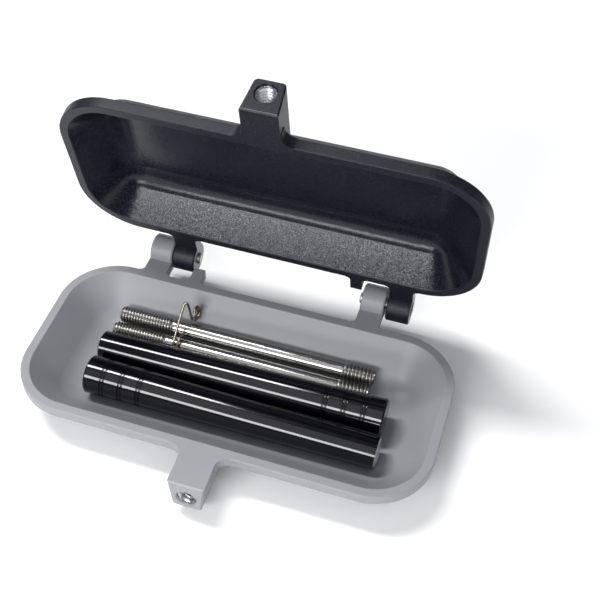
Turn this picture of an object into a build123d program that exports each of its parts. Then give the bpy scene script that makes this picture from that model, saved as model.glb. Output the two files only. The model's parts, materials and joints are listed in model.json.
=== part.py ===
from build123d import *
import math
import os

os.makedirs("parts", exist_ok=True)

# Folding two-pan press with its take-down handles stowed in the base pan.
# Millimetres. +X runs along the pans, +Y towards the hinges, +Z up, and the
# origin is the centre of the base pan's flat bottom.

# ---- Driving dimensions ----------------------------------------------------

# Pans: base and lid have the same bowl, flange band and handle boss
pan_length = 140.0
pan_width = 66.5
corner_radius = 20.0
rim_width = 3.0
rim_edge_round = 0.4
band_height = 4.0
bowl_depth = 13.0
bowl_draft = 42.0
floor_round = 11.0
bottom_round = 9.0
corner_share = 0.95
wall = 2.5
rim_gap = 0.2

# Handle boss on the front of each pan
boss_reach = 13.7
boss_width = 12.0
boss_height = 12.2
boss_draft = 5.3
boss_flare = 4.0
boss_round = 1.5
boss_chamfer = 0.5
flare_root = 1.0
boss_hole_drop = 7.1
boss_hole_depth = 15.0
boss_thread_diameter = 6.4
boss_countersink_diameter = 7.2

# Hinges: ears on the base, knuckles on the lid, one lug on each pan
hinge_offset = 11.55
knuckle_radius = 5.5
knuckle_width = 8.2
knuckle_chamfer = 0.4
tab_thickness = 4.0
tab_foot_radius = 1.6
base_ear_left_x = -46.6
base_ear_right_x = 31.4
lid_knuckle_left_x = -38.1
lid_knuckle_right_x = 40.4
base_lug_x = -29.5
lid_lug_x = 26.6
lug_width = 4.0
lug_reach = 6.6
pin_diameter = 4.0
pin_clearance = 0.05
pin_recess = 1.0
pin_chamfer = 0.3
knuckle_countersink = 0.7
lid_opening = 76.7

# Handle tubes, tapered from the grooved, closed end down to the tapped end
tube_diameter = 12.9
tapped_end_diameter = 10.7
tube_inset = 0.7
tube_chamfer = 0.5
tube_bore_diameter = 6.05
tube_bore_depth = 24.0
tube_countersink = 0.5
groove_radius = 0.33
groove_start = 6.2
groove_spacing = 6.45
groove_pair = 1.05
groove_count = 3
rear_tube_x = 0.7
front_tube_x = 1.95

# Handle rods
rod_end_room = 8.2
shank_diameter = 5.4
short_thread_diameter = 6.35
short_thread_length = 11.0
long_thread_diameter = 6.0
long_thread_length = 20.0
thread_chamfer = 0.6
rear_rod_x = -2.95
front_rod_x = -3.35

# Wire clip
wire_diameter = 1.1
coil_diameter = 5.8
coil_turns = 2.5
clip_x = -22.7
coil_drop = 3.7
crest_rise = 4.2
crest_lean = 1.3
crest_shift = 1.9
crest_width = 1.5
nose_width = 1.5
nose_shift = 3.6
nose_rest = 42.0
arm_rise = 0.6
arm_spread = 0.2
arm_rest = 28.0
wire_bends = [1.4, 0.7, 0.7, 0.75, 0.65]

# Stowage
store_clearance = 0.3
tube_spacing_gap = 1.6
rear_rod_climb = 35.4

# ---- Derived values --------------------------------------------------------

draft_slope = math.tan(math.radians(bowl_draft))
pan_height = bowl_depth + wall
rim_z = pan_height
hinge_y = pan_width / 2 + hinge_offset
hinge_z = pan_height + rim_gap / 2
lid_rim_z = pan_height + rim_gap

# Where the bowl's straight walls would meet its floor, then the floor's fillet, which
# takes at most the corner's share of the floor's corner radius
round_turn = math.tan(math.radians((90 - bowl_draft) / 2))
floor_inset = rim_width + bowl_depth * draft_slope
floor_corner = corner_radius - floor_inset
bowl_fillet = min(floor_round, corner_share * floor_corner / round_turn)
floor_half_x = pan_length / 2 - floor_inset - bowl_fillet * round_turn
floor_half_y = pan_width / 2 - floor_inset - bowl_fillet * round_turn
fillet_centre_z = wall + bowl_fillet

# The outside runs parallel to the bowl's wall, under the band
wall_run = wall / math.cos(math.radians(bowl_draft))
body_inset = rim_width - wall_run + band_height * draft_slope
body_depth = pan_height - band_height
body_corner = corner_radius - body_inset
bottom_corner = body_corner - body_depth * draft_slope
outer_fillet = min(bottom_round, corner_share * bottom_corner / round_turn)

boss_front_y = -pan_width / 2 - boss_reach
boss_hole_z = rim_z - boss_hole_drop

tube_radius = tube_diameter / 2
tapped_end_radius = tapped_end_diameter / 2
tube_length = 2 * floor_half_x - tube_inset
tube_lean = math.asin((tube_radius - tapped_end_radius) / tube_length)
rod_radius = short_thread_diameter / 2
rod_length = tube_length - rod_end_room

# Stowed places, as (y, z): the rear rod leans on the floor's fillet, the front
# rod lies beside it, the rear tube beside that, and the front tube in front. Each tube
# lies flat on the floor, so its axis falls towards the tapped end
rear_rod_path = bowl_fillet - rod_radius - store_clearance
rear_rod_y = floor_half_y + rear_rod_path * math.sin(math.radians(rear_rod_climb))
rear_rod_z = fillet_centre_z - rear_rod_path * math.cos(math.radians(rear_rod_climb))
front_rod_z = wall + rod_radius + store_clearance
rod_reach = 2 * rod_radius + store_clearance
front_rod_y = rear_rod_y - math.sqrt(rod_reach**2 - (rear_rod_z - front_rod_z) ** 2)
tube_end_z = wall + tube_radius + store_clearance
rear_tube_y = front_rod_y - rod_radius - tube_radius - store_clearance
front_tube_y = rear_tube_y - tube_radius - tapped_end_radius - tube_spacing_gap


# ---- Shared shapes ---------------------------------------------------------


def near(shapes, axis, place):
    """The shapes whose centre lies at this place along the axis."""
    return shapes.filter_by_position(axis, place - 0.05, place + 0.05)


def circles(builder, radius):
    """The builder's round edges of this radius."""
    edges = builder.edges().filter_by(GeomType.CIRCLE)
    return edges.filter_by(lambda edge: abs(edge.radius - radius) < 0.01)


def flared_foot(width, radius):
    """Plan of a tab's foot: it stands on the x axis and flares into the band both ways."""
    with BuildSketch() as foot:
        with Locations((0, -flare_root)):
            Rectangle(
                width + 2 * radius,
                flare_root + radius,
                align=(Align.CENTER, Align.MIN),
            )
        flare_centre_x = width / 2 + radius
        with Locations((-flare_centre_x, radius), (flare_centre_x, radius)):
            Circle(radius, mode=Mode.SUBTRACT)
    return foot.sketch


def pan_casting():
    """Bowl, flange band and handle boss: rim up, flat bottom on z = 0."""
    with BuildPart() as casting:
        # Flange band, with the drafted body under it
        with BuildSketch(Plane.XY.offset(rim_z)):
            RectangleRounded(pan_length, pan_width, corner_radius)
        extrude(amount=-band_height)
        fillet(casting.faces().filter_by(Axis.Z).edges(), rim_edge_round)
        with BuildSketch(Plane.XY.offset(rim_z - band_height)):
            RectangleRounded(
                pan_length - 2 * body_inset,
                pan_width - 2 * body_inset,
                body_corner,
            )
        extrude(amount=-body_depth, taper=bowl_draft)
        bottom_face = casting.faces().sort_by(Axis.Z)[0]
        fillet(bottom_face.edges(), outer_fillet)

        # Handle boss: its sides are drafted from the rim plane down, its front is square
        draft_run = boss_height * math.tan(math.radians(boss_draft))
        boss_root = rim_width + boss_height * draft_slope
        with BuildSketch(Plane.XY.offset(rim_z)):
            with Locations((0, boss_front_y - draft_run)):
                Rectangle(
                    boss_width,
                    boss_reach + boss_root + draft_run,
                    align=(Align.CENTER, Align.MIN),
                )
        extrude(amount=-boss_height, taper=boss_draft)
        with Locations((0, boss_front_y, rim_z)):
            Box(
                2 * boss_width,
                2 * draft_run,
                2 * boss_height + 1,
                align=(Align.CENTER, Align.MAX, Align.CENTER),
                mode=Mode.SUBTRACT,
            )
        boss_low_edges = near(casting.edges().filter_by(Axis.Y), Axis.Z, rim_z - boss_height)
        fillet(boss_low_edges, boss_round)
        boss_front = near(casting.faces().filter_by(Axis.Y), Axis.Y, boss_front_y)
        chamfer(boss_front.edges(), boss_chamfer)

        # Flares that run the boss into the band
        with BuildSketch(Plane.XY.offset(rim_z)):
            with Locations(Location((0, -pan_width / 2), 180)):
                add(flared_foot(boss_width, boss_flare))
        extrude(amount=-band_height)

        # Bowl
        with BuildSketch(Plane.XY.offset(rim_z)):
            RectangleRounded(
                pan_length - 2 * rim_width,
                pan_width - 2 * rim_width,
                corner_radius - rim_width,
            )
        extrude(amount=-bowl_depth, taper=bowl_draft, mode=Mode.SUBTRACT)
        bowl_floor = near(casting.faces().filter_by(Axis.Z), Axis.Z, wall)
        fillet(bowl_floor.edges(), bowl_fillet)
        rim_faces = near(casting.faces().filter_by(Axis.Z), Axis.Z, rim_z)
        rim_face = rim_faces.sort_by(SortBy.AREA)[-1]
        fillet(rim_face.inner_wires().edges(), rim_edge_round)

        # Tapped hole in the boss, drawn at its major diameter
        boss_mouth = Plane((0, boss_front_y, boss_hole_z), x_dir=(1, 0, 0), z_dir=(0, -1, 0))
        with Locations(boss_mouth):
            CounterSinkHole(
                boss_thread_diameter / 2,
                boss_countersink_diameter / 2,
                boss_hole_depth,
            )
    return casting.part


def tube_radius_at(run):
    """Radius of a tube at this distance from its closed end."""
    return tube_radius - run * (tube_radius - tapped_end_radius) / tube_length


def handle_tube(closed_end):
    """Tube whose grooved, closed end starts on this plane and runs along its normal."""
    with BuildPart(closed_end) as tube:
        Cone(
            tube_radius,
            tapped_end_radius,
            tube_length,
            align=(Align.CENTER, Align.CENTER, Align.MIN),
        )
        chamfer(tube.edges().filter_by(GeomType.CIRCLE), tube_chamfer)
        for ring in range(groove_count):
            first = groove_start + ring * groove_spacing
            for groove_run in (first, first + groove_pair):
                with Locations((0, 0, groove_run)):
                    Torus(tube_radius_at(groove_run), groove_radius, mode=Mode.SUBTRACT)
        with Locations((0, 0, tube_length)):
            CounterSinkHole(
                tube_bore_diameter / 2,
                tube_bore_diameter / 2 + tube_countersink,
                tube_bore_depth,
            )
    return tube.part


def handle_rod(long_end):
    """Rod whose long thread starts on this plane and runs along its normal."""
    with BuildPart(long_end) as rod:
        Cylinder(shank_diameter / 2, rod_length, align=(Align.CENTER, Align.CENTER, Align.MIN))
        Cylinder(
            long_thread_diameter / 2,
            long_thread_length,
            align=(Align.CENTER, Align.CENTER, Align.MIN),
        )
        with Locations((0, 0, rod_length)):
            Cylinder(
                short_thread_diameter / 2,
                short_thread_length,
                align=(Align.CENTER, Align.CENTER, Align.MAX),
            )
        end_edges = rod.edges().filter_by(GeomType.CIRCLE).sort_by(Axis.X)
        chamfer([end_edges[0], end_edges[-1]], thread_chamfer)
    return rod.part


def hinge_pin(start_x, end_x, label):
    """Pin on the hinge axis with slightly broken ends."""
    with BuildPart(Plane((start_x, hinge_y, hinge_z), x_dir=(0, 1, 0), z_dir=(1, 0, 0))) as pin:
        Cylinder(
            pin_diameter / 2,
            end_x - start_x,
            align=(Align.CENTER, Align.CENTER, Align.MIN),
        )
        chamfer(pin.edges().filter_by(GeomType.CIRCLE), pin_chamfer)
    pin.part.label = label
    return pin.part


# ---- Base pan --------------------------------------------------------------

casting = pan_casting()
band_y = pan_width / 2
base_ears = (base_ear_left_x, base_ear_right_x)

with BuildPart() as base_pan:
    add(casting)
    for ear_x in base_ears:
        with BuildSketch(Plane.YZ.offset(ear_x)):
            with Locations((hinge_y, hinge_z)):
                Circle(knuckle_radius)
            with Locations((band_y - flare_root, rim_z)):
                Rectangle(
                    hinge_y - band_y + flare_root,
                    tab_thickness,
                    align=(Align.MIN, Align.MAX),
                )
        extrude(amount=knuckle_width)
    with BuildSketch(Plane.XY.offset(rim_z)):
        for ear_x in base_ears:
            with Locations((ear_x + knuckle_width / 2, band_y)):
                add(flared_foot(knuckle_width, tab_foot_radius))
        with Locations((base_lug_x + lug_width / 2, band_y)):
            add(flared_foot(lug_width, tab_foot_radius))
        with Locations((base_lug_x, band_y)):
            Rectangle(lug_width, lug_reach, align=(Align.MIN, Align.MIN))
    extrude(amount=-tab_thickness)
    chamfer(circles(base_pan, knuckle_radius), knuckle_chamfer)
    for ear_x in base_ears:
        with Locations(Plane((ear_x, hinge_y, hinge_z), z_dir=(-1, 0, 0))):
            Hole(pin_diameter / 2, knuckle_width)

base_pan.part.label = "base_pan"
export_step(base_pan.part, "parts/base_pan.step")

# ---- Lid pan, modelled shut and then opened --------------------------------

shut_casting = casting.mirror(Plane.XY.offset(hinge_z))
lid_knuckles = (lid_knuckle_left_x, lid_knuckle_right_x)
lid_bore_radius = pin_diameter / 2 + pin_clearance

with BuildPart() as shut_lid:
    add(shut_casting)
    for knuckle_x in lid_knuckles:
        with BuildSketch(Plane.YZ.offset(knuckle_x)):
            with Locations((hinge_y, hinge_z)):
                Circle(knuckle_radius)
            with Locations((band_y - flare_root, lid_rim_z)):
                Rectangle(
                    hinge_y - band_y + flare_root,
                    tab_thickness,
                    align=(Align.MIN, Align.MIN),
                )
        extrude(amount=knuckle_width)
    with BuildSketch(Plane.XY.offset(lid_rim_z)):
        for knuckle_x in lid_knuckles:
            with Locations((knuckle_x + knuckle_width / 2, band_y)):
                add(flared_foot(knuckle_width, tab_foot_radius))
        with Locations((lid_lug_x + lug_width / 2, band_y)):
            add(flared_foot(lug_width, tab_foot_radius))
        with Locations((lid_lug_x, band_y)):
            Rectangle(lug_width, lug_reach, align=(Align.MIN, Align.MIN))
    extrude(amount=tab_thickness)
    chamfer(circles(shut_lid, knuckle_radius), knuckle_chamfer)
    for knuckle_x in lid_knuckles:
        with Locations(Plane((knuckle_x, hinge_y, hinge_z), z_dir=(-1, 0, 0))):
            Hole(lid_bore_radius, knuckle_width)
    right_bore_edge = circles(shut_lid, lid_bore_radius).sort_by(Axis.X)[-1]
    chamfer(right_bore_edge, knuckle_countersink)

hinge_axis = Axis((0, hinge_y, hinge_z), (1, 0, 0))
with BuildPart() as lid_pan:
    add(shut_lid.part.rotate(hinge_axis, -lid_opening))

lid_pan.part.label = "lid_pan"
export_step(lid_pan.part, "parts/lid_pan.step")

# ---- Hinge pins, pressed in the ears ---------------------------------------

left_pin = hinge_pin(
    base_ear_left_x + pin_recess,
    lid_knuckle_left_x + knuckle_width + pin_recess,
    "hinge_pin_left",
)
export_step(left_pin, "parts/hinge_pin_left.step")

right_pin = hinge_pin(
    base_ear_right_x - pin_recess,
    lid_knuckle_right_x + knuckle_width - pin_recess,
    "hinge_pin_right",
)
export_step(right_pin, "parts/hinge_pin_right.step")

# ---- Handle tubes, stowed side by side and end for end ----------------------

fall = math.sin(tube_lean)
rear_tube_end = Plane(
    (rear_tube_x + tube_length / 2, rear_tube_y, tube_end_z),
    x_dir=(0, 1, 0),
    z_dir=(-math.cos(tube_lean), 0, -fall),
)
rear_tube = handle_tube(rear_tube_end)
rear_tube.label = "handle_tube_rear"
export_step(rear_tube, "parts/handle_tube_rear.step")

front_tube_end = Plane(
    (front_tube_x - tube_length / 2, front_tube_y, tube_end_z),
    x_dir=(0, 1, 0),
    z_dir=(math.cos(tube_lean), 0, -fall),
)
front_tube = handle_tube(front_tube_end)
front_tube.label = "handle_tube_front"
export_step(front_tube, "parts/handle_tube_front.step")

# ---- Handle rods, long threads to the left ----------------------------------

rear_rod_end = Plane(
    (rear_rod_x - rod_length / 2, rear_rod_y, rear_rod_z),
    x_dir=(0, 1, 0),
    z_dir=(1, 0, 0),
)
rear_rod = handle_rod(rear_rod_end)
rear_rod.label = "handle_rod_rear"
export_step(rear_rod, "parts/handle_rod_rear.step")

front_rod_end = Plane(
    (front_rod_x - rod_length / 2, front_rod_y, front_rod_z),
    x_dir=(0, 1, 0),
    z_dir=(1, 0, 0),
)
front_rod = handle_rod(front_rod_end)
front_rod.label = "handle_rod_front"
export_step(front_rod, "parts/handle_rod_front.step")

# ---- Wire clip, lying across the rods ---------------------------------------

wire_radius = wire_diameter / 2
coil_radius = coil_diameter / 2
coil_length = coil_turns * wire_diameter

# The coil leans on the bowl's sloping rear wall
coil_z = rim_z - coil_drop
wall_y_at_coil = band_y - rim_width - coil_drop * draft_slope
coil_lean = (coil_radius + store_clearance) / math.cos(math.radians(bowl_draft))
coil_y = wall_y_at_coil - coil_lean

# The nose leans on the front rod, over the gap between it and the rear tube
rod_touch = rod_radius + wire_radius + store_clearance
nose_y = front_rod_y - rod_touch * math.cos(math.radians(nose_rest))
nose_z = front_rod_z + rod_touch * math.sin(math.radians(nose_rest))

# One wire: its short arm's end rests between the rods, then it runs over the front
# rod to the nose, and back over the crest to the coil
coil_left_x = clip_x - coil_length / 2 + wire_radius
coil_front_y = coil_y - coil_radius + wire_radius
nose_left_x = clip_x - nose_shift
nose_right_x = nose_left_x + nose_width
arm_rest_y = rear_rod_y - rod_touch * math.cos(math.radians(arm_rest))
arm_rest_z = rear_rod_z + rod_touch * math.sin(math.radians(arm_rest))
wire_points = [
    (nose_right_x + 2 * arm_spread, arm_rest_y, arm_rest_z),
    (nose_right_x + arm_spread, front_rod_y - store_clearance, front_rod_z + rod_touch + arm_rise),
    (nose_right_x, nose_y, nose_z),
    (nose_left_x, nose_y, nose_z),
    (coil_left_x - crest_shift, coil_front_y - crest_lean, rim_z + crest_rise),
    (coil_left_x - crest_shift + crest_width, coil_front_y - crest_lean, rim_z + crest_rise),
    (coil_left_x, coil_front_y, coil_z),
]
with BuildPart() as wire_clip:
    with BuildLine() as wire_line:
        FilletPolyline(*wire_points, radius=wire_bends)
    with BuildSketch(Plane(wire_line.line @ 0, z_dir=wire_line.line % 0)):
        Circle(wire_radius)
    sweep()
    with BuildSketch(Plane.YZ.offset(clip_x - coil_length / 2)):
        with Locations((coil_y, coil_z)):
            Circle(coil_radius)
            Circle(coil_radius - wire_diameter, mode=Mode.SUBTRACT)
    extrude(amount=coil_length)

wire_clip.part.label = "wire_clip"
export_step(wire_clip.part, "parts/wire_clip.step")
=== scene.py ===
import json
import math

import bmesh
import bpy
from mathutils import Matrix, Vector


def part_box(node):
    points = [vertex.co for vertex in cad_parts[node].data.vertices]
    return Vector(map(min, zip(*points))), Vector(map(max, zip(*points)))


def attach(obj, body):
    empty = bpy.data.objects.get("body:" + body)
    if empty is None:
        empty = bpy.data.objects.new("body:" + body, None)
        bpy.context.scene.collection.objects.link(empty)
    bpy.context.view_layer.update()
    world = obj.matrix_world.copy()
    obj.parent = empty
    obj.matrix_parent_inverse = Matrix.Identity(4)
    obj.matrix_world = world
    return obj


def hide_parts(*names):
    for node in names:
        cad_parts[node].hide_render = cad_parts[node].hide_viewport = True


# A folding two-pan press, open, with its take-down handles stowed in the base pan.
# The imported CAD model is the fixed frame. Everything here is in metres.
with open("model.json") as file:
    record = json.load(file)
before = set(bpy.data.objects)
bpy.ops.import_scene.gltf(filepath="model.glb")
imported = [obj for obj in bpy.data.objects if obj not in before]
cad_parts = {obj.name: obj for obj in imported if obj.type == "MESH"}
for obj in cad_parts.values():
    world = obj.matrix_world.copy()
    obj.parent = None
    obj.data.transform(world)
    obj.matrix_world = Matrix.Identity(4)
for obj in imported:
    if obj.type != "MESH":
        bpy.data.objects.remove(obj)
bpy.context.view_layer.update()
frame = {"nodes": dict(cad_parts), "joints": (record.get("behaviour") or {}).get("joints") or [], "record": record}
mounts = {mount["name"]: mount for mount in frame["record"]["mounts"]}
hinge = frame["joints"][0]["pos_m"]
MM = 0.001


# ---- Base pan --------------------------------------------------------------
# An aluminium die casting with a satin light grey coating. The coat is sprayed
# thin over the blasted casting, so it is smooth but still shows a faint grain.

COATING_GREY = "#8D8E93"
COATING_GREY_THIN = "#86878B"
COATING_GRAIN = 0.45 * MM
COATING_WAVE = 12 * MM


def linear(code):
    """Scene-linear colour of an sRGB hex code."""
    channels = [int(code[i : i + 2], 16) / 255 for i in (1, 3, 5)]
    return [
        c / 12.92 if c < 0.04045 else ((c + 0.055) / 1.055) ** 2.4 for c in channels
    ] + [1.0]


def add_node(finish, kind, inputs=None, **settings):
    """Add a node to a finish with its settings, and set or link its inputs."""
    tree = finish.node_tree
    node = tree.nodes.new(kind)
    for name, value in settings.items():
        setattr(node, name, value)
    for name, value in (inputs or {}).items():
        if isinstance(value, bpy.types.NodeSocket):
            tree.links.new(value, node.inputs[name])
        else:
            node.inputs[name].default_value = value
    return node


def start_finish(name):
    """An empty finish, and the Object coordinates that its patterns read."""
    finish = bpy.data.materials.new(name)
    finish.use_nodes = True
    finish.node_tree.nodes.clear()
    place = add_node(finish, "ShaderNodeTexCoord").outputs["Object"]
    return finish, place


def close_finish(finish, inputs):
    """Give a finish its shader and output."""
    shader = add_node(finish, "ShaderNodeBsdfPrincipled", inputs)
    add_node(finish, "ShaderNodeOutputMaterial", {"Surface": shader.outputs["BSDF"]})


def patchy_gloss(finish, place, size, detail, glossiest, dullest):
    """A roughness that wanders between two values in patches of a size."""
    patches = add_node(
        finish,
        "ShaderNodeTexNoise",
        {"Vector": place, "Scale": 1 / size, "Detail": detail},
    ).outputs["Fac"]
    return add_node(
        finish,
        "ShaderNodeMapRange",
        {
            "Value": patches,
            "From Min": 0.3,
            "From Max": 0.7,
            "To Min": glossiest,
            "To Max": dullest,
        },
    ).outputs["Result"]


def dress(node_name, finish):
    """Give a CAD node one finish all over."""
    mesh = frame["nodes"][node_name].data
    mesh.materials.clear()
    mesh.materials.append(finish)


coating, place = start_finish("satin_grey_coating_on_cast_aluminium")
grain = add_node(
    coating,
    "ShaderNodeTexNoise",
    {"Vector": place, "Scale": 1 / COATING_GRAIN, "Detail": 2.0},
).outputs["Fac"]
wave = add_node(
    coating,
    "ShaderNodeTexNoise",
    {"Vector": place, "Scale": 1 / COATING_WAVE, "Detail": 3.0},
).outputs["Fac"]
tone = add_node(
    coating,
    "ShaderNodeMix",
    {0: wave, 6: linear(COATING_GREY_THIN), 7: linear(COATING_GREY)},
    data_type="RGBA",
).outputs[2]
gloss = add_node(
    coating,
    "ShaderNodeMapRange",
    {"Value": grain, "From Min": 0.3, "From Max": 0.7, "To Min": 0.40, "To Max": 0.50},
).outputs["Result"]
texture = add_node(
    coating,
    "ShaderNodeBump",
    {"Height": grain, "Strength": 0.12, "Distance": 0.03 * MM},
).outputs["Normal"]
close_finish(
    coating,
    {"Base Color": tone, "Metallic": 0.0, "Roughness": gloss, "Normal": texture},
)
dress("base_pan", coating)


# ---- Lid pan ---------------------------------------------------------------
# The matching casting with a black non-stick coating, smooth in the bowl and matt
# outside it. Fine metal flake sparkles in its shine. The knuckles' ends are milled.

NONSTICK_BLACK = "#101119"
NONSTICK_IOR = 1.35
FLAKE_SILVER = "#76829C"
# Bare milled aluminium of the knuckle ends, darkened with painted shade
MILLED_GREY_IN_SHADE = "#77787B"
# Real flake is under 0.1 mm; it is drawn at this size so that it shows
FLAKE_SIZE = 0.15 * MM
FLAKE_TILT = 0.08
BOWL_GLOSS = 0.15
OUTSIDE_GLOSS = 0.42
# The open lid leans forward from upright by this, and its bowl faces the front
LID_LEAN = math.radians(13.3)
LID_FACING = Vector((0, -math.cos(LID_LEAN), -math.sin(LID_LEAN)))
RIM_ROUNDING = 0.5 * MM
LID_RIM = LID_FACING.dot(hinge) - RIM_ROUNDING
KNUCKLE_REACH = 10.0 * MM
KNUCKLE_ENDS = (-38.1 * MM, -29.9 * MM, 40.4 * MM, 48.6 * MM)
END_TOLERANCE = 0.04 * MM

nonstick, place = start_finish("black_nonstick_coating_with_flake")
flake = add_node(
    nonstick, "ShaderNodeTexVoronoi", {"Vector": place, "Scale": 1 / FLAKE_SIZE}
).outputs["Color"]

# Each flake lies at its own small tilt, which breaks a highlight into sparkle
tilt = add_node(
    nonstick,
    "ShaderNodeVectorMath",
    {0: flake, 1: (FLAKE_TILT,) * 3, 2: (-FLAKE_TILT / 2,) * 3},
    operation="MULTIPLY_ADD",
).outputs["Vector"]
surface = add_node(nonstick, "ShaderNodeNewGeometry").outputs["Normal"]
tilted = add_node(
    nonstick, "ShaderNodeVectorMath", {0: surface, 1: tilt}, operation="ADD"
).outputs["Vector"]
tilted = add_node(
    nonstick, "ShaderNodeVectorMath", {0: tilted}, operation="NORMALIZE"
).outputs["Vector"]
flake_shine = add_node(
    nonstick, "ShaderNodeSeparateColor", {"Color": flake}
).outputs["Green"]
flake_shine = add_node(
    nonstick,
    "ShaderNodeMapRange",
    {"Value": flake_shine, "From Min": 0.86, "From Max": 1.0, "To Max": 0.25},
).outputs["Result"]

# Bare metal lies in the knuckles' end planes, as far as the cutter reached. Its grey is darker than the other bare
# aluminium: painted shade of the gaps beside the knuckles.
sides = add_node(nonstick, "ShaderNodeSeparateXYZ", {"Vector": place}).outputs["X"]
milled = 0.0
for knuckle_end in KNUCKLE_ENDS:
    on_end = add_node(
        nonstick,
        "ShaderNodeMath",
        {0: sides, 1: knuckle_end, 2: END_TOLERANCE},
        operation="COMPARE",
    ).outputs[0]
    milled = add_node(
        nonstick, "ShaderNodeMath", {0: on_end, 1: milled}, operation="ADD"
    ).outputs[0]
profile = add_node(
    nonstick, "ShaderNodeVectorMath", {0: place, 1: (0, 1, 1)}, operation="MULTIPLY"
).outputs["Vector"]
reach = add_node(
    nonstick,
    "ShaderNodeVectorMath",
    {0: profile, 1: (0, hinge[1], hinge[2])},
    operation="DISTANCE",
).outputs["Value"]
reach = add_node(
    nonstick, "ShaderNodeMath", {0: reach, 1: KNUCKLE_REACH}, operation="LESS_THAN"
).outputs[0]
milled = add_node(
    nonstick, "ShaderNodeMath", {0: milled, 1: reach}, operation="MULTIPLY"
).outputs[0]

coat_colour = add_node(
    nonstick,
    "ShaderNodeMix",
    {0: flake_shine, 6: linear(NONSTICK_BLACK), 7: linear(FLAKE_SILVER)},
    data_type="RGBA",
).outputs[2]
colour = add_node(
    nonstick,
    "ShaderNodeMix",
    {0: milled, 6: coat_colour, 7: linear(MILLED_GREY_IN_SHADE)},
    data_type="RGBA",
).outputs[2]
metal = add_node(
    nonstick, "ShaderNodeMath", {0: flake_shine, 1: milled}, operation="MAXIMUM"
).outputs[0]

# The smooth part of the coat faces out of the bowl and lies below the rim
way = add_node(nonstick, "ShaderNodeTexCoord").outputs["Normal"]
faces_out = add_node(
    nonstick, "ShaderNodeVectorMath", {0: way, 1: LID_FACING}, operation="DOT_PRODUCT"
).outputs["Value"]
faces_out = add_node(
    nonstick, "ShaderNodeMath", {0: faces_out, 1: 0.2}, operation="GREATER_THAN"
).outputs[0]
below_rim = add_node(
    nonstick, "ShaderNodeVectorMath", {0: place, 1: LID_FACING}, operation="DOT_PRODUCT"
).outputs["Value"]
below_rim = add_node(
    nonstick, "ShaderNodeMath", {0: below_rim, 1: LID_RIM}, operation="LESS_THAN"
).outputs[0]
in_bowl = add_node(
    nonstick, "ShaderNodeMath", {0: faces_out, 1: below_rim}, operation="MULTIPLY"
).outputs[0]
gloss = add_node(
    nonstick, "ShaderNodeMix", {0: in_bowl, 2: OUTSIDE_GLOSS, 3: BOWL_GLOSS}
).outputs[0]
close_finish(
    nonstick,
    {
        "Base Color": colour,
        "Metallic": metal,
        "Roughness": gloss,
        "IOR": NONSTICK_IOR,
        "Normal": tilted,
    },
)
dress("lid_pan", nonstick)


# ---- Handle boss threads ---------------------------------------------------
# Each pan's boss is drilled and tapped after coating, so its thread is bright
# bare aluminium, cut in sharp rings that catch the light.

BARE_ALUMINIUM = "#BDBEC1"
BOSS_PITCH = 1.27 * MM
BOSS_THREAD_DEPTH = 0.62 * MM
BOSS_LEAD = 0.4 * MM
LINING_GAP = 0.01 * MM
THREAD_STEPS = 36
SHARP_TURN = math.radians(33)

tapped, place = start_finish("bare_tapped_aluminium")
gloss = patchy_gloss(tapped, place, 0.4 * MM, 2.0, 0.22, 0.38)
close_finish(
    tapped,
    {"Base Color": linear(BARE_ALUMINIUM), "Metallic": 1.0, "Roughness": gloss},
)


def spin_thread(bm, root, crest, pitch, length, fade_start, fade_end, rest):
    """A right-hand thread along +Z from z = 0, whose ends fade to the radius rest."""
    profile = [
        (root, -1.0),
        (root, -0.94),
        (crest, -0.56),
        (crest, -0.44),
        (root, -0.06),
        (root, 0.0),
    ]
    corners = [bm.verts.new((radius, 0, along * pitch)) for radius, along in profile]
    edges = [bm.edges.new(pair) for pair in zip(corners, corners[1:])]
    bmesh.ops.spin(
        bm,
        geom=corners + edges,
        cent=(0, 0, 0),
        axis=(0, 0, 1),
        dvec=(0, 0, pitch / THREAD_STEPS),
        angle=math.tau,
        steps=THREAD_STEPS,
    )
    one_turn = bm.verts[:] + bm.edges[:] + bm.faces[:]
    for turn in range(1, math.ceil(length / pitch) + 2):
        copy = bmesh.ops.duplicate(bm, geom=one_turn)["geom"]
        copied_verts = [item for item in copy if isinstance(item, bmesh.types.BMVert)]
        bmesh.ops.translate(bm, verts=copied_verts, vec=(0, 0, turn * pitch))
    bmesh.ops.remove_doubles(bm, verts=bm.verts, dist=0.001 * MM)
    for height, outwards in ((0, -1), (length, 1)):
        bmesh.ops.bisect_plane(
            bm,
            geom=bm.verts[:] + bm.edges[:] + bm.faces[:],
            plane_co=(0, 0, height),
            plane_no=(0, 0, outwards),
            clear_outer=True,
        )
    for vert in bm.verts:
        radius = math.hypot(vert.co.x, vert.co.y)
        in_start = vert.co.z / fade_start if fade_start else 1.0
        in_end = (length - vert.co.z) / fade_end if fade_end else 1.0
        share = max(0.0, min(1.0, in_start, in_end))
        scale = (rest + (radius - rest) * share) / radius
        vert.co.x *= scale
        vert.co.y *= scale


def finish_piece(name, bm, finish, body, place=None):
    """The bmesh as a piece on a body, smooth but for its sharp edges."""
    mesh = bpy.data.meshes.new(name)
    for face in bm.faces:
        face.smooth = True
    for edge in bm.edges:
        edge.smooth = edge.calc_face_angle(0.0) < SHARP_TURN
    bm.to_mesh(mesh)
    bm.free()
    mesh.transform(place or Matrix.Identity(4))
    mesh.materials.append(finish)
    piece = bpy.data.objects.new(name, mesh)
    bpy.context.scene.collection.objects.link(piece)
    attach(piece, body)
    return piece


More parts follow.
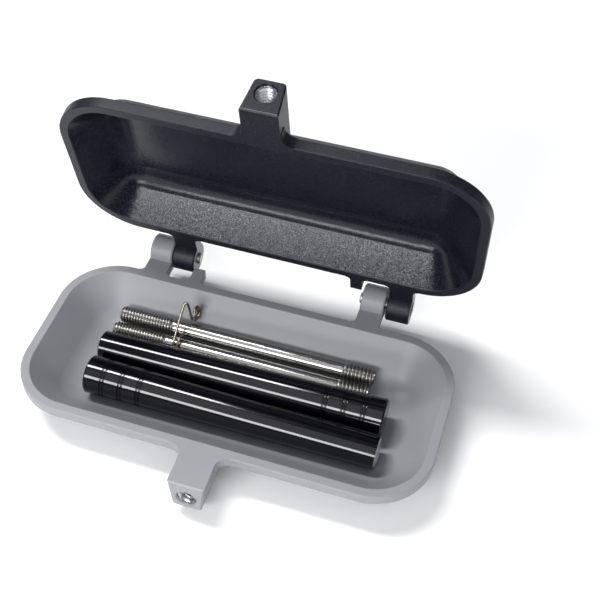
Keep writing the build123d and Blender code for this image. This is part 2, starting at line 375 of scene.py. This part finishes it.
def line_hole(name, mount_name, body, pitch, depth, lead):
    """A tapped thread on the wall of a mount's hole, from a little inside its mouth."""
    mount = mounts[mount_name]
    outwards = Vector(mount["axis"])
    length = mount["dims"]["length_mm"] * MM - lead
    bore = mount["dims"]["r_mm"] * MM - LINING_GAP
    mouth = Vector(mount["pos_m"]) + outwards * (length - lead) / 2
    bm = bmesh.new()
    spin_thread(bm, bore, bore - depth, pitch, length, pitch, pitch, bore)
    bmesh.ops.recalc_face_normals(bm, faces=bm.faces)
    # The wall of a hole is seen from its axis, so most of its faces point there
    away = [
        face
        for face in bm.faces
        if face.normal.xy.dot(face.calc_center_median().xy) > 0
    ]
    if len(away) * 2 > len(bm.faces):
        bmesh.ops.reverse_faces(bm, faces=bm.faces)
    turn = Vector((0, 0, 1)).rotation_difference(-outwards).to_matrix().to_4x4()
    finish_piece(
        name, bm, tapped, body, Matrix.Translation(mouth) @ turn
    )


for body in ("base", "lid"):
    line_hole(
        body + "_boss_thread",
        body + "_handle_thread",
        body,
        BOSS_PITCH,
        BOSS_THREAD_DEPTH,
        BOSS_LEAD,
    )


# ---- Hinge pins ------------------------------------------------------------
# Plain ground steel pins, pressed in the base's ears, with turned ends.

PIN_STEEL = "#A3A19D"

steel, place = start_finish("plain_ground_steel")
gloss = patchy_gloss(steel, place, 0.5 * MM, 3.0, 0.28, 0.45)
close_finish(
    steel, {"Base Color": linear(PIN_STEEL), "Metallic": 1.0, "Roughness": gloss}
)
dress("hinge_pin_left", steel)
dress("hinge_pin_right", steel)


# ---- Handle tubes ----------------------------------------------------------
# Tapered tubes turned from aluminium, polished and gloss black anodised, with three
# pairs of rings at the closed end. The tapped end was faced after, so it shows bare.

ANODISED_BLACK = "#07070D"
OXIDE_IOR = 1.52
TUBE_PITCH = 1.0 * MM
TUBE_THREAD_DEPTH = 0.5 * MM
TUBE_LEAD = 0.5 * MM
FACED_SKIN = 0.5 * MM


def anodise(name, faced_end, side):
    """Gloss black anodising that stops at the faced end, on that side along x."""
    finish, place = start_finish(name)
    along = add_node(finish, "ShaderNodeSeparateXYZ", {"Vector": place}).outputs["X"]
    edge = faced_end - side * FACED_SKIN
    bare = add_node(
        finish,
        "ShaderNodeMath",
        {0: along, 1: edge},
        operation="GREATER_THAN" if side > 0 else "LESS_THAN",
    ).outputs[0]
    colour = add_node(
        finish,
        "ShaderNodeMix",
        {0: bare, 6: linear(ANODISED_BLACK), 7: linear(BARE_ALUMINIUM)},
        data_type="RGBA",
    ).outputs[2]
    # Faint lathe and handling marks, drawn coarser than the real ones
    stretch = add_node(
        finish, "ShaderNodeVectorMath", {0: place, 1: (0.1, 1, 1)}, operation="MULTIPLY"
    ).outputs["Vector"]
    marks = add_node(
        finish,
        "ShaderNodeTexNoise",
        {"Vector": stretch, "Scale": 1 / (0.8 * MM), "Detail": 3.0},
    ).outputs["Fac"]
    gloss = add_node(
        finish,
        "ShaderNodeMapRange",
        {
            "Value": marks,
            "From Min": 0.35,
            "From Max": 0.75,
            "To Min": 0.08,
            "To Max": 0.13,
        },
    ).outputs["Result"]
    close_finish(
        finish,
        {"Base Color": colour, "Metallic": bare, "Roughness": gloss, "IOR": OXIDE_IOR},
    )
    return finish


# The rear tube's tapped end is at the left and the front tube's at the right
rear_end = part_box("handle_tube_rear")[0].x
front_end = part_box("handle_tube_front")[1].x
dress("handle_tube_rear", anodise("gloss_black_anodising_rear", rear_end, -1))
dress("handle_tube_front", anodise("gloss_black_anodising_front", front_end, 1))
for body in ("rear_tube", "front_tube"):
    line_hole(
        body + "_thread",
        body + "_thread",
        body,
        TUBE_PITCH,
        TUBE_THREAD_DEPTH,
        TUBE_LEAD,
    )


# ---- Handle rods -----------------------------------------------------------
# Polished stainless rod with rolled threads: a long one for the tube at the
# left end, and a short, coarser one for the boss at the right end.

POLISHED_STEEL = "#A6A5A2"
# Grey of the painted shade in the thread roots
THREAD_ROOT_SHADE_GREY = "#65625D"
DRAW_LINES = 0.3 * MM
THREAD_GLOSS = 0.36
SHANK = 2.70 * MM
SHANK_TOLERANCE = 0.03 * MM
LONG_CREST, LONG_ROOT = 3.0 * MM, 2.42 * MM
LONG_PITCH, LONG_LENGTH = 1.05 * MM, 20 * MM
SHORT_CREST, SHORT_ROOT = 3.175 * MM, 2.45 * MM
SHORT_PITCH, SHORT_LENGTH = 1.27 * MM, 11 * MM
END_CHAMFER = 0.6 * MM


def polish(name, axis_y, axis_z):
    """Polished steel of a rod on this axis, with painted shade darkening its thread roots."""
    finish, place = start_finish(name)
    profile = add_node(
        finish, "ShaderNodeVectorMath", {0: place, 1: (0, 1, 1)}, operation="MULTIPLY"
    ).outputs["Vector"]
    radius = add_node(
        finish,
        "ShaderNodeVectorMath",
        {0: profile, 1: (0, axis_y, axis_z)},
        operation="DISTANCE",
    ).outputs["Value"]
    # Painted shade: the grey darkens the nearer the surface lies to the rod's axis inside the shank's radius, in
    # the thread roots and on the flat ends
    root_shade = add_node(
        finish,
        "ShaderNodeMapRange",
        {
            "Value": radius,
            "From Min": LONG_ROOT,
            "From Max": SHANK - 0.02 * MM,
            "To Min": 1.0,
            "To Max": 0.0,
        },
    ).outputs["Result"]
    colour = add_node(
        finish,
        "ShaderNodeMix",
        {0: root_shade, 6: linear(POLISHED_STEEL), 7: linear(THREAD_ROOT_SHADE_GREY)},
        data_type="RGBA",
    ).outputs[2]
    # Fine lines left along the rod by its drawing
    stretch = add_node(
        finish,
        "ShaderNodeVectorMath",
        {0: place, 1: (0.01, 1, 1)},
        operation="MULTIPLY",
    ).outputs["Vector"]
    gloss = patchy_gloss(finish, stretch, DRAW_LINES, 2.0, 0.13, 0.22)
    # Rolling leaves the threads duller than the polished shank
    on_shank = add_node(
        finish,
        "ShaderNodeMath",
        {0: radius, 1: SHANK, 2: SHANK_TOLERANCE},
        operation="COMPARE",
    ).outputs[0]
    gloss = add_node(
        finish, "ShaderNodeMix", {0: on_shank, 2: THREAD_GLOSS, 3: gloss}
    ).outputs[0]
    close_finish(finish, {"Base Color": colour, "Metallic": 1.0, "Roughness": gloss})
    return finish


def threaded_end(root, crest, pitch, length):
    """One threaded end of a rod, closed, from a chamfered tip at z = 0 to the shank."""
    bm = bmesh.new()
    spin_thread(bm, root, crest, pitch, length, 0, 1.5 * pitch, SHANK)
    for vert in bm.verts:
        radius = math.hypot(vert.co.x, vert.co.y)
        scale = min(1.0, (crest - END_CHAMFER + vert.co.z) / radius)
        vert.co.x *= scale
        vert.co.y *= scale
    bmesh.ops.holes_fill(bm, edges=[edge for edge in bm.edges if edge.is_boundary])
    bmesh.ops.recalc_face_normals(bm, faces=bm.faces)
    return bm


def make_rod(node_name):
    """The whole rod along +X in place of its CAD node."""
    low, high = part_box(node_name)
    rod_length = high.x - low.x
    rod = bmesh.new()
    long_end = threaded_end(LONG_ROOT, LONG_CREST, LONG_PITCH, LONG_LENGTH)
    short_end = threaded_end(SHORT_ROOT, SHORT_CREST, SHORT_PITCH, SHORT_LENGTH)
    short_end.transform(
        Matrix.Translation((0, 0, rod_length)) @ Matrix.Rotation(math.pi, 4, "X")
    )
    for end in (long_end, short_end):
        part = bpy.data.meshes.new("rod_end")
        end.to_mesh(part)
        end.free()
        rod.from_mesh(part)
        bpy.data.meshes.remove(part)
    shank_length = rod_length - LONG_LENGTH - SHORT_LENGTH
    bmesh.ops.create_cone(
        rod,
        cap_ends=True,
        segments=THREAD_STEPS * 2,
        radius1=SHANK,
        radius2=SHANK,
        depth=shank_length,
        matrix=Matrix.Translation((0, 0, LONG_LENGTH + shank_length / 2)),
    )
    centre = (low + high) / 2
    along_x = Matrix.Rotation(math.pi / 2, 4, "Y")
    place = Matrix.Translation((low.x, centre.y, centre.z)) @ along_x
    polished = polish("polished_stainless_" + node_name, centre.y, centre.z)
    piece = finish_piece(
        node_name + "_threaded", rod, polished, "rods", place
    )
    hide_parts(node_name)


make_rod("handle_rod_rear")
make_rod("handle_rod_front")


# ---- Wire clip -------------------------------------------------------------
# One length of stainless spring wire: an open coil against the bowl's rear wall, a leg
# over the crest down to the nose, and a short arm back.

WIRE_GREY = "#9A9288"
WIRE_RADIUS = 0.46 * MM
COIL_RADIUS = 2.35 * MM
COIL_HALF_WIDTH = 1.375 * MM
COIL_TURNS = 1.75
COIL_POINTS = 12
# The smooth line through the coil's points runs inside them by this factor
LINE_SHRINK = 1.03

clip_low, clip_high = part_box("wire_clip")
coil_x = clip_high.x - COIL_HALF_WIDTH
coil_y = clip_high.y - COIL_RADIUS - WIRE_RADIUS
coil_z = 11.8 * MM

# The leg and the short arm, in millimetres from the coil's centre
ARM = [
    (-1.7, -8.2, -2.5),
    (-1.8, -9.8, -1.8),
    (-1.9, -11.3, -1.1),
    (-2.0, -12.8, -2.0),
    (-2.1, -13.6, -2.8),
    (-2.2, -14.2, -3.4),
    (-2.85, -14.5, -3.5),
    (-3.5, -14.2, -3.4),
    (-3.55, -13.4, -2.3),
    (-3.2, -8.8, 2.7),
    (-2.8, -4.7, 6.9),
    (-2.6, -3.8, 8.1),
    (-1.95, -3.5, 8.5),
    (-1.35, -3.5, 8.0),
    (-1.15, -3.3, 6.0),
    (-0.9, -2.7, 1.6),
]

line = bpy.data.curves.new("wire_line", "CURVE")
line.dimensions = "3D"
line.bevel_depth = WIRE_RADIUS
line.bevel_resolution = 5
line.resolution_u = 8
line.use_fill_caps = True
route = [(coil_x + x * MM, coil_y + y * MM, coil_z + z * MM) for x, y, z in ARM]
turn_width = (2 * COIL_HALF_WIDTH - 2 * WIRE_RADIUS) / COIL_TURNS
for step in range(round(COIL_TURNS * COIL_POINTS) + 1):
    angle = math.pi + step * math.tau / COIL_POINTS
    route.append(
        (
            coil_x - COIL_HALF_WIDTH + WIRE_RADIUS + turn_width * step / COIL_POINTS,
            coil_y + COIL_RADIUS * math.cos(angle) * LINE_SHRINK,
            coil_z + COIL_RADIUS * math.sin(angle) * LINE_SHRINK,
        )
    )
spline = line.splines.new("NURBS")
spline.points.add(len(route) - 1)
for point, co in zip(spline.points, route):
    point.co = (*co, 1.0)
spline.order_u = 4
spline.use_endpoint_u = True
wire_line = bpy.data.objects.new("wire_line", line)
bpy.context.scene.collection.objects.link(wire_line)
bpy.context.view_layer.update()
drawn = wire_line.evaluated_get(bpy.context.evaluated_depsgraph_get())
wire = bmesh.new()
wire.from_mesh(bpy.data.meshes.new_from_object(drawn))
bpy.data.objects.remove(wire_line)

stainless, place = start_finish("drawn_stainless_spring_wire")
gloss = patchy_gloss(stainless, place, 0.6 * MM, 3.0, 0.24, 0.38)
close_finish(
    stainless, {"Base Color": linear(WIRE_GREY), "Metallic": 1.0, "Roughness": gloss}
)
clip = finish_piece("wire_clip_wound", wire, stainless, "clip")
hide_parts("wire_clip")


# ---- Floor, light and camera -----------------------------------------------
# A plain pale table top, two long soft lights overhead and in front, a smaller one
# low in front and a wide fill above, and a camera above the front right corner.

TABLE_WHITE = "#FBFBFB"
TABLE_HALF = 3.0
SKY_WHITE = "#E4E7F2"

paper, place = start_finish("matt_white_table")
fibre = add_node(
    paper,
    "ShaderNodeTexNoise",
    {"Vector": place, "Scale": 1 / (2 * MM), "Detail": 3.0},
).outputs["Fac"]
gloss = add_node(
    paper,
    "ShaderNodeMapRange",
    {"Value": fibre, "To Min": 0.8, "To Max": 0.95},
).outputs["Result"]
close_finish(paper, {"Base Color": linear(TABLE_WHITE), "Roughness": gloss})
table = bmesh.new()
bmesh.ops.create_grid(table, x_segments=4, y_segments=4, size=TABLE_HALF)
table_mesh = bpy.data.meshes.new("table")
table.to_mesh(table_mesh)
table.free()
table_mesh.materials.append(paper)
table_top = bpy.data.objects.new("table", table_mesh)
bpy.context.scene.collection.objects.link(table_top)


def softbox(name, place, width, depth, watts):
    """A rectangular soft light, its width along x, turned towards the object."""
    light = bpy.data.lights.new(name, "AREA")
    light.shape = "RECTANGLE"
    light.size = width
    light.size_y = depth
    light.energy = watts
    back = Vector(place).normalized()
    up = back.cross((1, 0, 0)).normalized()
    turn = Matrix((up.cross(back), up, back)).transposed().to_4x4()
    holder = bpy.data.objects.new(name, light)
    holder.matrix_world = Matrix.Translation(place) @ turn
    bpy.context.scene.collection.objects.link(holder)


softbox("overhead", (-0.42, 0.12, 0.88), 0.52, 0.16, 8.2)
softbox("front", (-0.20, -0.75, 0.50), 0.50, 0.20, 4.8)
softbox("low front", (-0.12, -0.92, 0.13), 0.50, 0.08, 2.4)
softbox("fill", (0.45, -0.62, 1.25), 2.2, 1.4, 7.5)

world = bpy.data.worlds.new("studio")
bpy.context.scene.world = world
world.use_nodes = True
sky = world.node_tree.nodes["Background"]
sky.inputs["Color"].default_value = linear(SKY_WHITE)
sky.inputs["Strength"].default_value = 0.2
bpy.context.scene.view_settings.view_transform = "Standard"

AIM = Vector((-3.56, 24.83, 15.5)) * MM
CAMERA_DISTANCE = 385.4 * MM
AZIMUTH = math.radians(19.42)
ELEVATION = math.radians(48.77)
ROLL = math.radians(-0.72)

lens = bpy.data.cameras.new("camera")
lens.lens = 67.15
lens.sensor_width = 36
lens.shift_x = 0.0833
lens.shift_y = 0.025
lens.clip_start = 0.01
camera = bpy.data.objects.new("camera", lens)
camera.matrix_world = (
    Matrix.Translation(AIM)
    @ Matrix.Rotation(AZIMUTH, 4, "Z")
    @ Matrix.Rotation(math.pi / 2 - ELEVATION, 4, "X")
    @ Matrix.Translation((0, 0, CAMERA_DISTANCE))
    @ Matrix.Rotation(ROLL, 4, "Z")
)
bpy.context.scene.collection.objects.link(camera)
bpy.context.scene.camera = camera
